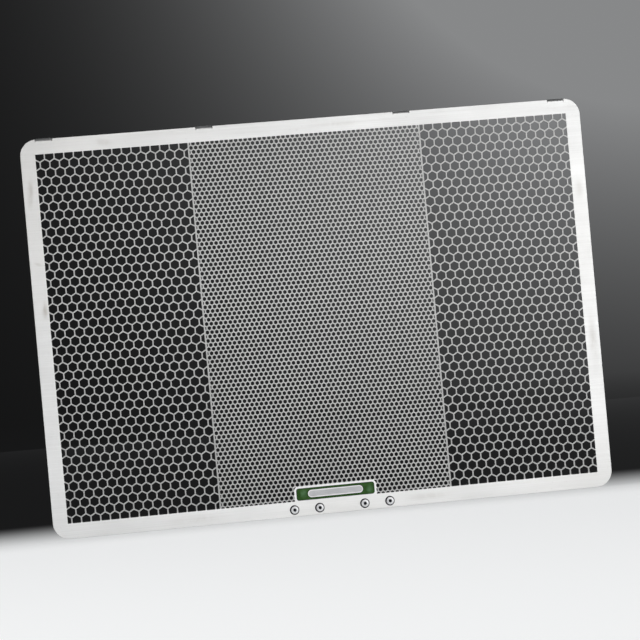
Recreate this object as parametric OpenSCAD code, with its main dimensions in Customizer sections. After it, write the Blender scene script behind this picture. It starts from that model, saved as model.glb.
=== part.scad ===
// Motorcycle radiator guard: one stainless sheet, etched through into a
// honeycomb mesh, with four tabs folded back along its top edge. Two small
// angle brackets are riveted behind its bottom rail, and a field of green
// enamel fills a shallow recess above that rail.
//
// It stands as it is fitted: X is its width, +Z is up and the front faces -Y.
// The origin is the middle of the two bolt holes in the lower brackets, on
// the underside of their flanges. Lengths are in millimetres.

/* [Sheet] */
// Width of the sheet
plate_w = 386.5; // [340:0.5:440]
// Height of the sheet
plate_h = 265.5; // [230:0.5:310]
// Thickness of the stainless sheet
sheet_t = 0.8; // [0.6:0.1:1.2]
// Radius of the four outer corners
corner_r = 11; // [6:0.5:16]
// Width of the plain rail that runs round the mesh
rail_w = 10; // [10:0.25:14]

/* [Mesh] */
// Pitch of the coarse honeycomb at the two sides, from cell centre to cell centre
coarse_pitch = 6.5; // [5:0.25:8]
// Pitch of the fine honeycomb in the middle
fine_pitch = 3.25; // [2.5:0.25:4]
// Width of the web left between two cells
web_w = 0.8; // [0.6:0.05:1]
// Distance from the middle to each of the two thin vertical ribs
rib_x = 79.625; // [60:0.125:100]
// Width of each rib
rib_w = 1; // [0.8:0.1:2]
// Height of a row of fine cell centres above the sheet's middle
fine_row_z = 0.985; // [-1.5:0.005:1.5]
// Place across of a coarse cell centre, from the sheet's middle
coarse_col_x = -1.625; // [-3.25:0.125:3.25]
// Height of that coarse cell centre above the sheet's middle
coarse_row_z = 14.225; // [11:0.001:17]
// How many times its real size each cell is drawn: 1 is the true mesh, and a larger number has the same open area in fewer cells
cell_scale = 4; // [1:1:6]

/* [Top tabs] */
// Distance from the middle to each inner tab
tab_inner_x = 68.1; // [50:0.1:90]
// Distance from the middle to each outer tab
tab_outer_x = 176.8; // [150:0.1:177]
// Width of a tab
tab_w = 10.8; // [8:0.1:14]
// Outer radius of a tab's folds
tab_fold_r = 1.8; // [1.6:0.1:2.4]
// How far the fold stands above the sheet's top edge
tab_proud = 0.4; // [0:0.1:0.8]
// Width of the relief slot at each side of a tab
relief_w = 0.4; // [0.4:0.1:1]
// Clear depth from the back of the sheet to the lip of a tab
hook_gap = 24; // [16:1:36]
// Length of the straight part of the lip that turns down behind
lip_len = 6; // [3:0.5:7]

/* [Lower brackets] */
// Place across of the left bracket, from the sheet's middle
bracket_left_x = -20.75; // [-60:0.05:-18]
// Place across of the right bracket, from the sheet's middle
bracket_right_x = 27.85; // [14:0.05:60]
// Width of a bracket
bracket_w = 27; // [25:0.5:30]
// Thickness of the bracket sheet
bracket_t = 1.2; // [1:0.1:1.2]
// Depth of the bracket's flange behind the sheet
bracket_depth = 26; // [22:0.5:40]
// Distance of the bolt hole behind the sheet
bolt_y = 16.5; // [14:0.5:18]
// Diameter of the bolt hole, for an M6 bolt
bolt_d = 6.5; // [5.5:0.1:7]

/* [Rivets] */
// Distance between the two rivets of a bracket
rivet_spacing = 17.4; // [14:0.1:18]
// Height of the rivets above the sheet's bottom edge
rivet_z = 4.45; // [4.3:0.05:5]
// Diameter of a rivet's body and of its hole
rivet_d = 3.3; // [3:0.1:3.4]
// Diameter of a rivet's domed head
rivet_head_d = 6.5; // [6:0.1:7]
// Height of the domed head
rivet_head_h = 1.1; // [0.8:0.05:1.3]
// Diameter of the bore that the mandrel is drawn through
mandrel_d = 1.9; // [1.7:0.05:2]

/* [Emblem] */
// Place across of the enamel field, from the sheet's middle
emblem_x = -0.3; // [-20:0.1:20]
// Width of the enamel field
emblem_w = 54; // [40:0.5:60]
// Height of the enamel field
emblem_h = 8.2; // [6:0.1:10]
// Corner radius of the enamel field
emblem_r = 1.7; // [1:0.1:2.5]
// Width of the bare rim between the enamel and the mesh
emblem_rim = 1.3; // [0.8:0.1:2]
// Depth of the recess that holds the enamel
recess_depth = 0.3; // [0.2:0.05:0.4]
// Thickness of the enamel
enamel_t = 0.22; // [0.15:0.01:0.4]
// Length of the plain bare bar that stands in the enamel
bar_len = 38; // [20:1:44]
// Height of that bar
bar_h = 5; // [2:0.1:5.4]
// Depth of the etched panel in the bar's face
panel_depth = 0.1; // [0.05:0.01:0.2]

/* [Hidden] */
$fn = 48;

top_z = plate_h / 2;
bottom_z = -plate_h / 2;
// the window in the rail that the mesh fills
win_x = plate_w / 2 - rail_w;
win_z = plate_h / 2 - rail_w;

// lower brackets: the flange's underside is just above the sheet's bottom edge
foot_z = bottom_z + 0.15;
bracket_fold_r = bracket_t + 0.8;
bracket_top_z = bottom_z + rail_w - 0.6;

rivet_line_z = bottom_z + rivet_z;
rivet_tail_d = 4.4;
rivet_tail_len = 3.2;

left_outer_x = bracket_left_x - rivet_spacing / 2;
left_inner_x = bracket_left_x + rivet_spacing / 2;
right_inner_x = bracket_right_x - rivet_spacing / 2;
right_outer_x = bracket_right_x + rivet_spacing / 2;

// the enamel field stands on the bottom rail
emblem_z0 = -win_z + 0.3;
emblem_z1 = emblem_z0 + emblem_h;
emblem_mid_z = (emblem_z0 + emblem_z1) / 2;
bar_edge = 0.6;

// the origin in the sheet's own coordinates: middle of the two bolt holes
origin_x = (bracket_left_x + bracket_right_x) / 2;

tab_xs = [-tab_outer_x, -tab_inner_x, tab_inner_x, tab_outer_x];

steel = [0.86, 0.87, 0.88];
dark_steel = [0.42, 0.43, 0.45];
alloy = [0.80, 0.82, 0.84];
green = [0.22, 0.42, 0.21];

// from the sheet's coordinates (middle of the sheet, y = 0 on its back face)
// to the part's own frame
module placed() {
    translate([-origin_x, -bolt_y, -foot_z]) children();
}

// a flat outline in X and Z, made t thick, from y0 forwards
module upright(t, y0 = 0) {
    translate([0, y0, 0]) rotate([90, 0, 0]) linear_extrude(height = t) children();
}

// a section drawn in Y and Z, extruded w wide about x
module across(w, x) {
    translate([x - w / 2, 0, 0]) rotate([90, 0, 90]) linear_extrude(height = w) children();
}

// rectangle with rounded corners, from circles and squares
module round_rect(w, h, r) {
    square([w - 2 * r, h], center = true);
    square([w, h - 2 * r], center = true);
    for (sx = [-1, 1], sy = [-1, 1])
        translate([sx * (w / 2 - r), sy * (h / 2 - r)]) circle(r = r);
}

// one honeycomb, cells centred on a lattice through (ox, oz), over |x| from xa to xb
module cells(pitch, web, ox, oz, xa, xb) {
    row = pitch * sqrt(3) / 2;
    r = (pitch - web) / sqrt(3);
    j0 = floor((-win_z - r - oz) / row);
    j1 = ceil((win_z + r - oz) / row);
    for (j = [j0 : j1]) {
        shift = ox + (abs(j) % 2) * pitch / 2;
        // cells that only touch the zone's edge are left out
        least = 0.15 * pitch - (pitch - web) / 2;
        i0 = ceil((xa + least - shift) / pitch);
        i1 = floor((xb - least - shift) / pitch);
        z = oz + j * row;
        if (z - r < win_z - 0.1 * pitch && z + r > -win_z + 0.1 * pitch)
            for (i = [i0 : i1])
                translate([shift + i * pitch, z]) rotate(30) circle(r = r, $fn = 6);
    }
}

// the openings of one zone of the mesh, cut square at its edges
module zone(pitch, ox, oz, xa, xb) {
    intersection() {
        translate([xa, -win_z]) square([xb - xa, 2 * win_z]);
        cells(pitch * cell_scale, web_w * cell_scale, ox, oz, xa, xb);
    }
}

module emblem_land() {
    w = emblem_w + 2 * emblem_rim;
    h = emblem_h + emblem_rim;
    r = emblem_r + emblem_rim;
    translate([emblem_x - w / 2, emblem_z0 - 2]) square([w, h + 2 - r]);
    translate([emblem_x - w / 2 + r, emblem_z0]) square([w - 2 * r, h]);
    for (sx = [-1, 1]) translate([emblem_x + sx * (w / 2 - r), emblem_z0 + h - r]) circle(r = r);
}

module mesh_openings() {
    difference() {
        union() {
            zone(coarse_pitch, coarse_col_x, coarse_row_z, -win_x, -rib_x - rib_w / 2);
            zone(fine_pitch, 0, fine_row_z, -rib_x + rib_w / 2, rib_x - rib_w / 2);
            zone(coarse_pitch, coarse_col_x, coarse_row_z, rib_x + rib_w / 2, win_x);
        }
        emblem_land();
    }
}

// height at which the sheet starts to turn into a tab
tab_turn_z = top_z + tab_proud - tab_fold_r;

// what a tab takes out of the sheet's top edge: its own width, and a
// round-ended relief slot at each side
module tab_notch(x) {
    translate([x - tab_w / 2, tab_turn_z]) square([tab_w, 10]);
    for (s = [-1, 1]) {
        sx = x + s * (tab_w / 2 + relief_w / 2);
        translate([sx - relief_w / 2, tab_turn_z - 0.06]) square([relief_w, 10]);
        translate([sx, tab_turn_z - 0.06]) circle(d = relief_w, $fn = 24);
    }
}

// a quarter of a folded sheet: outer radius r, thickness t, for the quadrant
// that qy and qz point to
module fold(r, t, qy, qz) {
    intersection() {
        difference() {
            circle(r = r);
            circle(r = r - t);
        }
        translate([qy < 0 ? -r - 1 : 0, qz < 0 ? -r - 1 : 0]) square([r + 1, r + 1]);
    }
}

// a tab: folded back over the top, then down as a lip
module tab(x) {
    yb = -sheet_t + tab_fold_r;
    yl = hook_gap + sheet_t - tab_fold_r;
    across(tab_w, x) {
        translate([yb, tab_turn_z]) fold(tab_fold_r, sheet_t, -1, 1);
        translate([yb, tab_turn_z + tab_fold_r - sheet_t]) square([yl - yb, sheet_t]);
        translate([yl, tab_turn_z]) fold(tab_fold_r, sheet_t, 1, 1);
    }
    upright(sheet_t, hook_gap + sheet_t) {
        translate([x - tab_w / 2, tab_turn_z - lip_len + 2]) square([tab_w, lip_len - 2]);
        translate([x - tab_w / 2 + 2, tab_turn_z - lip_len]) square([tab_w - 4, 2]);
        for (s = [-1, 1])
            translate([x + s * (tab_w / 2 - 2), tab_turn_z - lip_len + 2]) circle(r = 2);
    }
}

module emblem_field() {
    difference() {
        translate([emblem_x, emblem_mid_z]) round_rect(emblem_w, emblem_h, emblem_r);
        translate([emblem_x, emblem_mid_z]) round_rect(bar_len, bar_h, bar_h / 2 - 0.01);
    }
}

// the shallow etched panel, inside a bright edge left round the bar
module bar_panel() {
    h = bar_h - 2 * bar_edge;
    translate([emblem_x, emblem_mid_z]) round_rect(bar_len - 2 * bar_edge, h, h / 2 - 0.01);
}

module guard_plate() {
    color(steel) placed() {
        difference() {
            upright(sheet_t) difference() {
                round_rect(plate_w, plate_h, corner_r);
                mesh_openings();
                for (x = tab_xs) tab_notch(x);
                for (x = [left_outer_x, left_inner_x, right_inner_x, right_outer_x])
                    translate([x, rivet_line_z]) circle(d = rivet_d);
            }
            upright(1, -sheet_t + recess_depth) emblem_field();
            upright(1, -sheet_t + panel_depth) bar_panel();
        }
        for (x = tab_xs) tab(x);
    }
}

module emblem_enamel() {
    color(green) placed()
        upright(enamel_t, -sheet_t + recess_depth) emblem_field();
}

// an angle bracket: an upright flange behind the rail, folded back below it
// into a flange with a bolt hole
module bracket(x) {
    r = bracket_fold_r;
    ear = 5;
    color(steel) placed() difference() {
        union() {
            across(bracket_w, x) {
                translate([0, foot_z + r]) square([bracket_t, bracket_top_z - foot_z - r - 2]);
                translate([r, foot_z + r]) fold(r, bracket_t, -1, -1);
                translate([r, foot_z]) square([bracket_depth - ear - r, bracket_t]);
            }
            // rounded upper corners
            upright(bracket_t, bracket_t) {
                translate([x - bracket_w / 2 + 2, bracket_top_z - 3]) square([bracket_w - 4, 3]);
                for (s = [-1, 1])
                    translate([x + s * (bracket_w / 2 - 2), bracket_top_z - 2]) circle(r = 2);
            }
            // rounded rear corners
            translate([0, 0, foot_z]) linear_extrude(height = bracket_t) {
                translate([x - bracket_w / 2 + ear, bracket_depth - ear - 1]) square([bracket_w - 2 * ear, ear + 1]);
                for (s = [-1, 1])
                    translate([x + s * (bracket_w / 2 - ear), bracket_depth - ear]) circle(r = ear);
            }
        }
        for (s = [-1, 1])
            translate([x + s * rivet_spacing / 2, 5, rivet_line_z]) rotate([90, 0, 0])
                cylinder(d = rivet_d, h = 10);
        translate([x, bolt_y, foot_z - 1]) cylinder(d = bolt_d, h = bracket_t + 2);
    }
}

module bracket_left() bracket(bracket_left_x);
module bracket_right() bracket(bracket_right_x);

// a set blind rivet, turned about its own axis: radius in X, length in Y, with
// y = 0 under the head; the head is below zero and the tail above
module rivet_section() {
    grip = sheet_t + bracket_t;
    b = mandrel_d / 2;
    hr = rivet_head_d / 2;
    difference() {
        union() {
            // head: a shallow crown that runs into a round shoulder
            intersection() {
                translate([0, head_crown_r - rivet_head_h]) circle(r = head_crown_r, $fn = 180);
                translate([0, -rivet_head_h]) square([hr, rivet_head_h]);
                union() {
                    translate([0, -rivet_head_h]) square([shoulder_x * head_crown_r / (head_crown_r - head_round), rivet_head_h]);
                    translate([shoulder_x, shoulder_y]) circle(r = head_round, $fn = 72);
                }
            }
            square([rivet_d / 2, grip + 0.5]);
            // the tail, swollen behind the bracket
            translate([0, grip]) square([rivet_tail_d / 2 - 0.5, rivet_tail_len]);
            translate([0, grip + 0.5]) square([rivet_tail_d / 2, rivet_tail_len - 1]);
            for (y = [0.5, rivet_tail_len - 0.5])
                translate([rivet_tail_d / 2 - 0.5, grip + y]) circle(r = 0.5, $fn = 24);
        }
        translate([-10, -5]) square([10 + b, 20]);
        // countersunk mouth of the bore
        polygon([[b - 0.1, -rivet_head_h - 0.1], [b + 0.32, -rivet_head_h - 0.1], [b - 0.1, -rivet_head_h + 0.32]]);
    }
}
// the head's crown, and the centre of its shoulder, which touches the crown from inside
head_crown_r = 15;
head_round = 0.9;
shoulder_x = rivet_head_d / 2 - head_round;
shoulder_y = head_crown_r - rivet_head_h - sqrt(pow(head_crown_r - head_round, 2) - pow(shoulder_x, 2));

module rivet(x) {
    color(alloy) placed() translate([x, -sheet_t, rivet_line_z])
        rotate([-90, 0, 0]) rotate_extrude() rivet_section();
}

module rivet_left_outer() rivet(left_outer_x);
module rivet_left_inner() rivet(left_inner_x);
module rivet_right_inner() rivet(right_inner_x);
module rivet_right_outer() rivet(right_outer_x);

// what is left of a mandrel: a pin that broke off below the head's face, and
// its own head, which closes the tail
module mandrel(x) {
    grip = sheet_t + bracket_t;
    end = grip + rivet_tail_len;
    color(dark_steel) placed() translate([x, -sheet_t, rivet_line_z])
        rotate([-90, 0, 0]) rotate_extrude()
            intersection() {
                union() {
                    translate([0, -rivet_head_h + 0.65]) square([mandrel_d / 2, end + rivet_head_h - 0.65]);
                    translate([0, end]) square([1.5, 0.5]);
                    translate([0, end + 0.5 - 1.2]) circle(r = 1.92, $fn = 64);
                }
                union() {
                    translate([0, -rivet_head_h]) square([mandrel_d / 2, end + rivet_head_h]);
                    translate([0, end]) square([1.5, 2]);
                }
            }
}

module mandrel_left_outer() mandrel(left_outer_x);
module mandrel_left_inner() mandrel(left_inner_x);
module mandrel_right_inner() mandrel(right_inner_x);
module mandrel_right_outer() mandrel(right_outer_x);

guard_plate();
emblem_enamel();
bracket_left();
bracket_right();
rivet_left_outer();
rivet_left_inner();
rivet_right_inner();
rivet_right_outer();
mandrel_left_outer();
mandrel_left_inner();
mandrel_right_inner();
mandrel_right_outer();
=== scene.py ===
import math

import bpy
import numpy as np
from mathutils import Matrix, Vector
from mathutils.geometry import delaunay_2d_cdt


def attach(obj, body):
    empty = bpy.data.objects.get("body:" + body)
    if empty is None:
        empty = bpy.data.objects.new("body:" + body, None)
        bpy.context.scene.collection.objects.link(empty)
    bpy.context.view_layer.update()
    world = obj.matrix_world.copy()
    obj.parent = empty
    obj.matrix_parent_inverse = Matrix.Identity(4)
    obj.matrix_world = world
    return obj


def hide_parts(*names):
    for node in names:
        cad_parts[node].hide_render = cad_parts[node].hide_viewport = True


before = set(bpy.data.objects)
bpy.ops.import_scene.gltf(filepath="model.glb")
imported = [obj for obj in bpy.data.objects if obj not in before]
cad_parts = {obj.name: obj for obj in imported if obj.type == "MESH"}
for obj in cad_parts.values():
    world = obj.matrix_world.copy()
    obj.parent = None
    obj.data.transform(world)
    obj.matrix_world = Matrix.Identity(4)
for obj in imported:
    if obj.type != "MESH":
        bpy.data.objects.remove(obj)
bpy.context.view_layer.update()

# ---------------------------------------------------------------- dimensions
# Millimetres, in the sheet's own coordinates: x across and z up from the
# sheet's middle, y back from its rear face. place() puts them in the frame.
ORIGIN = np.array((3.55, 16.5, -132.6))

W, H, T = 386.5, 265.5, 0.8
CORNER_R, RAIL = 11.0, 10.0
WIN_X, WIN_Z = W / 2 - RAIL, H / 2 - RAIL
WEB, RIB_X, RIB_W = 0.8, 79.625, 1.0
COARSE, COARSE_X, COARSE_Z = 6.5, -1.625, 14.225
FINE, FINE_X, FINE_Z = 3.25, 0.0, 0.985
ROOT3 = math.sqrt(3)

TABS = np.array((-176.8, -68.1, 68.1, 176.8))
TAB_W, TAB_R, TAB_PROUD, SLOT_W = 10.8, 1.8, 0.4, 0.4
HOOK_GAP, LIP, LIP_R = 24.0, 6.0, 2.0
TURN = H / 2 + TAB_PROUD - TAB_R

BRACKETS = {"left": -20.75, "right": 27.85}
BR_W, BR_T, BR_DEPTH, BR_FOLD, BR_EAR = 27.0, 1.2, 26.0, 2.0, 5.0
FOOT = -H / 2 + 0.15
BR_TOP = -H / 2 + RAIL - 0.6
BOLT_Y, BOLT_D = 16.5, 6.5

RIVET_Z = -H / 2 + 4.45
RIVETS = {"left_outer": -29.45, "left_inner": -12.05, "right_inner": 19.15, "right_outer": 36.55}
RIVET_D, HEAD_D, HEAD_H, BORE_D = 3.3, 6.5, 1.1, 1.9

EM_X, EM_W, EM_H, EM_R, EM_RIM = -0.3, 54.0, 8.2, 1.7, 1.3
EM_Z0 = -WIN_Z + 0.3
EM_MID = EM_Z0 + EM_H / 2
RECESS, ENAMEL_T = 0.3, 0.22
BAR_L, BAR_H, BAR_EDGE, PANEL = 38.0, 5.0, 0.6, 0.1


def place(points):
    """Millimetres of the sheet to metres of the frame."""
    return (np.asarray(points, float) - ORIGIN) * 0.001


# ---------------------------------------------------------------- flat outlines
def arc(cx, cz, r, a0, a1, n):
    """n + 1 points of an arc, angles in degrees."""
    out = []
    for k in range(n + 1):
        a = math.radians(a0 + (a1 - a0) * k / n)
        out.append((cx + r * math.cos(a), cz + r * math.sin(a)))
    return out


def ring(cx, cz, r, n):
    """A round hole, clockwise, so that the metal is on its left."""
    return arc(cx, cz, r, 0, -360, n)[:-1]


def round_rect(cx, cz, w, h, r, n=8):
    """A rectangle with round corners, anticlockwise."""
    x, z = w / 2 - r, h / 2 - r
    pts = arc(cx + x, cz - z, r, -90, 0, n) + arc(cx + x, cz + z, r, 0, 90, n)
    pts += arc(cx - x, cz + z, r, 90, 180, n) + arc(cx - x, cz - z, r, 180, 270, n)
    return tidy(pts)


def tidy(pts, least=0.02):
    """A closed outline without points that nearly coincide."""
    out = []
    for p in pts:
        if not out or math.dist(p, out[-1]) > least:
            out.append(p)
    while len(out) > 2 and math.dist(out[0], out[-1]) <= least:
        out.pop()
    return out


def area(pts):
    p = np.asarray(pts)
    q = np.roll(p, -1, 0)
    return float((p[:, 0] * q[:, 1] - p[:, 1] * q[:, 0]).sum() / 2)


def inset(pts, c):
    """The outline moved c to its left, where the metal is, with mitred corners."""
    p = np.asarray(pts, float)
    a, b = p - np.roll(p, 1, 0), np.roll(p, -1, 0) - p
    a /= np.linalg.norm(a, axis=1)[:, None]
    b /= np.linalg.norm(b, axis=1)[:, None]
    na, nb = np.c_[-a[:, 1], a[:, 0]], np.c_[-b[:, 1], b[:, 0]]
    return p + (na + nb) * (c / (1 + (na * nb).sum(1)))[:, None]


def within(pts, p):
    """True if p is inside the outline."""
    x, z, hit = p[0], p[1], False
    for (ax, az), (bx, bz) in zip(pts, pts[1:] + pts[:1]):
        if (az > z) != (bz > z) and x < ax + (z - az) * (bx - ax) / (bz - az):
            hit = not hit
    return hit


def clip(poly, xa, xb, za, zb):
    """A convex outline cut by a rectangle."""
    for axis, lim, keep in ((0, xa, 1), (0, xb, -1), (1, za, 1), (1, zb, -1)):
        out = []
        for p, q in zip(poly, poly[1:] + poly[:1]):
            dp, dq = (p[axis] - lim) * keep, (q[axis] - lim) * keep
            if dp >= 0:
                out.append(p)
            if dp * dq < 0:
                t = dp / (dp - dq)
                out.append((p[0] + t * (q[0] - p[0]), p[1] + t * (q[1] - p[1])))
        poly = out
        if len(poly) < 3:
            return []
    return tidy(poly)


def outside_of(cell, land):
    """What is left of a convex cell outside a convex land, or [] if nothing is. Both run anticlockwise."""
    edges = list(zip(land, land[1:] + land[:1]))
    spans = []
    for p, q in zip(cell, cell[1:] + cell[:1]):
        t0, t1 = 0.0, 1.0
        for a, b in edges:
            nx, nz = -(b[1] - a[1]), b[0] - a[0]  # towards the land's inside
            dp = (p[0] - a[0]) * nx + (p[1] - a[1]) * nz
            dq = (q[0] - a[0]) * nx + (q[1] - a[1]) * nz
            if dp < 0 and dq < 0:
                t0, t1 = 1.0, 0.0
                break
            if dp < 0:
                t0 = max(t0, dp / (dp - dq))
            elif dq < 0:
                t1 = min(t1, dp / (dp - dq))
        spans.append((t0, t1) if t1 - t0 > 1e-9 else None)
    if not any(spans):
        return cell
    if all(s and s[0] < 1e-9 and s[1] > 1 - 1e-9 for s in spans):
        return []
    inner = [v for v in land if within(cell, v)]
    n, out = len(cell), []
    for k in range(n):
        p, q = cell[k], cell[(k + 1) % n]
        at = lambda t: (p[0] + t * (q[0] - p[0]), p[1] + t * (q[1] - p[1]))
        s = spans[k]
        if s is None:
            out.append(p)
            continue
        if s[0] > 1e-9:  # goes in here: then along the land's edge to where it comes out
            out.append(p)
            e = at(s[0])
            out.append(e)
            out += sorted(inner, key=lambda v: math.dist(v, e))
        if s[1] < 1 - 1e-9:
            out.append(at(s[1]))
    return tidy(out)


def land_outline():
    w, h, r = EM_W + 2 * EM_RIM, EM_H + EM_RIM, EM_R + EM_RIM
    x0, x1, top = EM_X - w / 2, EM_X + w / 2, EM_Z0 + h
    pts = [(x0, EM_Z0 - 2), (x1, EM_Z0 - 2)]
    return pts + arc(x1 - r, top - r, r, 0, 90, 10) + arc(x0 + r, top - r, r, 90, 180, 10)


def cells():
    """The outline of every opening of the mesh, clockwise."""
    land, out = land_outline(), []
    zones = (
        (COARSE, COARSE_X, COARSE_Z, -WIN_X, -RIB_X - RIB_W / 2),
        (FINE, FINE_X, FINE_Z, -RIB_X + RIB_W / 2, RIB_X - RIB_W / 2),
        (COARSE, COARSE_X, COARSE_Z, RIB_X + RIB_W / 2, WIN_X),
    )
    for pitch, ox, oz, xa, xb in zones:
        row, r = pitch * ROOT3 / 2, (pitch - WEB) / ROOT3
        least = 0.15 * pitch - (pitch - WEB) / 2
        for j in range(math.floor((-WIN_Z - r - oz) / row), math.ceil((WIN_Z + r - oz) / row) + 1):
            shift, z = ox + (abs(j) % 2) * pitch / 2, oz + j * row
            if not (z - r < WIN_Z - 0.1 * pitch and z + r > -WIN_Z + 0.1 * pitch):
                continue
            for i in range(math.ceil((xa + least - shift) / pitch), math.floor((xb - least - shift) / pitch) + 1):
                x = shift + i * pitch
                cell = arc(x, z, r, 30, 390, 6)[:-1]
                cell = clip(cell, xa, xb, -WIN_Z, WIN_Z)
                if len(cell) < 3:
                    continue
                if z < EM_Z0 + EM_H + 4 and abs(x - EM_X) < EM_W / 2 + 5:
                    cell = outside_of(cell, land)
                    if len(cell) < 3 or area(cell) < 0.12:
                        continue
                out.append(cell[::-1])
    return out


# ---------------------------------------------------------------- folded sheets
def triangulated(points, edges):
    """Triangles of the area that the edges enclose, as indices into points."""
    got = delaunay_2d_cdt([Vector(p) for p in points], edges, [], 1, 1e-6, True)
    first = np.array([min(o) if o else -1 for o in got[3]])
    if (first < 0).any():
        raise RuntimeError("the outlines cross each other")
    return first[np.array(got[2])]


def folded(name, loops, thick, bend, folds=(), steps=(), level=None, wall=1, floor=2, mapped=False):
    """A sheet of even thickness cut from a flat pattern and bent.

    loops: (points, ease) with the metal on the left, the outer one first.
    folds: pairs of point indices of the outer loop, joined by an edge.
    steps: (points, high, low), a step in the front face, its higher side on the left.
    level: gives the front face's height at a point, where there are steps.
    bend(u, s, d): millimetres of the sheet, for height d above its rear face.
    """
    points, edges, owner, rings = [], [], [], []
    for k, (pts, ease) in enumerate(loops):
        p = inset(pts, ease) if ease else np.asarray(pts, float)
        at = len(points)
        points += [tuple(q) for q in p]
        edges += [(at + i, at + (i + 1) % len(p)) for i in range(len(p))]
        owner += [k] * len(p)
        rings.append(at)
    edges += [(rings[0] + a, rings[0] + b) for a, b in folds]
    starts = []
    for pts, high, low in steps:
        at = len(points)
        starts.append(at)
        points += [tuple(q) for q in pts]
        edges += [(at + i, at + (i + 1) % len(pts)) for i in range(len(pts))]
        owner += [-1] * len(pts)
    tri = triangulated(points, edges)
    owner, flat = np.array(owner), np.array(points)
    # a triangle whose corners are all on one loop may lie in a hole, or outside the sheet
    same = (owner[tri[:, 0]] == owner[tri[:, 1]]) & (owner[tri[:, 1]] == owner[tri[:, 2]]) & (owner[tri[:, 0]] >= 0)
    outlines = [points[at : at + len(pts)] for (pts, ease), at in zip(loops, rings)]
    keep = np.ones(len(tri), bool)
    for t in np.nonzero(same)[0]:
        k = owner[tri[t, 0]]
        keep[t] = within(outlines[k], flat[tri[t]].mean(0)) == (k == 0)
    tri = tri[keep]
    p, q, r = (flat[tri[:, k]] for k in range(3))
    turn = (q[:, 0] - p[:, 0]) * (r[:, 1] - p[:, 1]) - (q[:, 1] - p[:, 1]) * (r[:, 0] - p[:, 0])
    tri[turn < 0] = tri[turn < 0][:, ::-1]

    n = len(flat)
    u, s = flat[:, 0], flat[:, 1]
    verts = [bend(u, s, np.full(n, thick)), bend(u, s, np.zeros(n))]
    tex = [np.c_[u, s, np.zeros(n)], np.c_[u, s, np.ones(n)]]
    count = 2 * n
    heights = np.full(len(tri), thick)
    if steps:
        heights = np.array([level(*c) for c in flat[tri].mean(1)])
    lower = {thick: np.arange(n)}
    for h in sorted(set(heights) | {low for _, _, low in steps} | {high for _, high, _ in steps}):
        if h in lower:
            continue
        used = set(tri[heights == h].ravel())
        for at, (pts, high, low) in zip(starts, steps):
            if h in (low, high):
                used |= set(range(at, at + len(pts)))
        used = np.array(sorted(used))
        where = np.full(n, -1)
        where[used] = count + np.arange(len(used))
        lower[h] = where
        verts.append(bend(u[used], s[used], np.full(len(used), h)))
        tex.append(np.c_[u[used], s[used], np.zeros(len(used))])
        count += len(used)
    faces, mats = [], []
    for h in sorted(set(heights)):
        f = lower[h][tri[heights == h]]
        faces += f.tolist()
        mats += [0 if h == thick else floor] * len(f)
    faces += (tri[:, ::-1] + n).tolist()
    mats += [0] * len(tri)

    def strip(a, b, mat):
        """Quads between two closed rings of vertices, a nearer the front."""
        a2, b2 = np.roll(a, -1), np.roll(b, -1)
        faces.extend(np.c_[a, b, b2, a2].tolist())
        mats.extend([mat] * len(a))

    for (pts, ease), at in zip(loops, rings):
        m = len(pts)
        top, low = at + np.arange(m), n + at + np.arange(m)
        if ease:
            pu, ps = np.asarray(pts, float).T
            verts.append(bend(pu, ps, np.full(m, thick - ease)))
            verts.append(bend(pu, ps, np.full(m, ease)))
            tex += [np.c_[pu, ps, np.zeros(m)], np.c_[pu, ps, np.ones(m)]]
            r1, r2 = count + np.arange(m), count + m + np.arange(m)
            count += 2 * m
            strip(top, r1, wall)
            strip(r1, r2, wall)
            strip(r2, low, wall)
        else:
            strip(top, low, wall)
    for at, (pts, high, low) in zip(starts, steps):
        i = at + np.arange(len(pts))
        strip(lower[high][i], lower[low][i], wall)
    ob = build(name, np.concatenate(verts), faces, mats)
    if mapped:
        lay_flat(ob.data, faces, np.concatenate(tex)[:, :2])
    return ob


def lay_flat(me, faces, flat):
    """A map of the flat pattern: the front, the back above it, and a small cell for each face of a wall."""
    tris = np.array([f for f in faces if len(f) == 3])
    quads = np.array([f for f in faces if len(f) == 4])
    if len(me.loops) != tris.size + quads.size or any(len(f) == 3 for f in faces[len(tris):]):
        return
    lo, hi = flat.min(0), flat.max(0)
    at = (flat[tris] - lo) / (hi - lo)
    a, b, c = at[:, 0], at[:, 1], at[:, 2]
    front = (b[:, 0] - a[:, 0]) * (c[:, 1] - a[:, 1]) > (b[:, 1] - a[:, 1]) * (c[:, 0] - a[:, 0])
    at[..., 0] = 0.004 + 0.992 * at[..., 0]
    at[..., 1] = np.where(front, 0.005, 0.425)[:, None] + 0.405 * at[..., 1]
    cols = 512
    rows = -(-len(quads) // cols)
    k = np.arange(len(quads))
    corner = np.array([(0.18, 0.18), (0.18, 0.82), (0.82, 0.82), (0.82, 0.18)])
    cell = np.stack([k % cols, k // cols], 1)[:, None] + corner
    cell = cell / (cols, rows) * (1.0, 0.153) + (0.0, 0.845)
    layer = me.uv_layers.new(name="OFBake")
    layer.data.foreach_set("uv", np.concatenate([at.reshape(-1, 2), cell.reshape(-1, 2)]).astype(np.float32).ravel())


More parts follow.
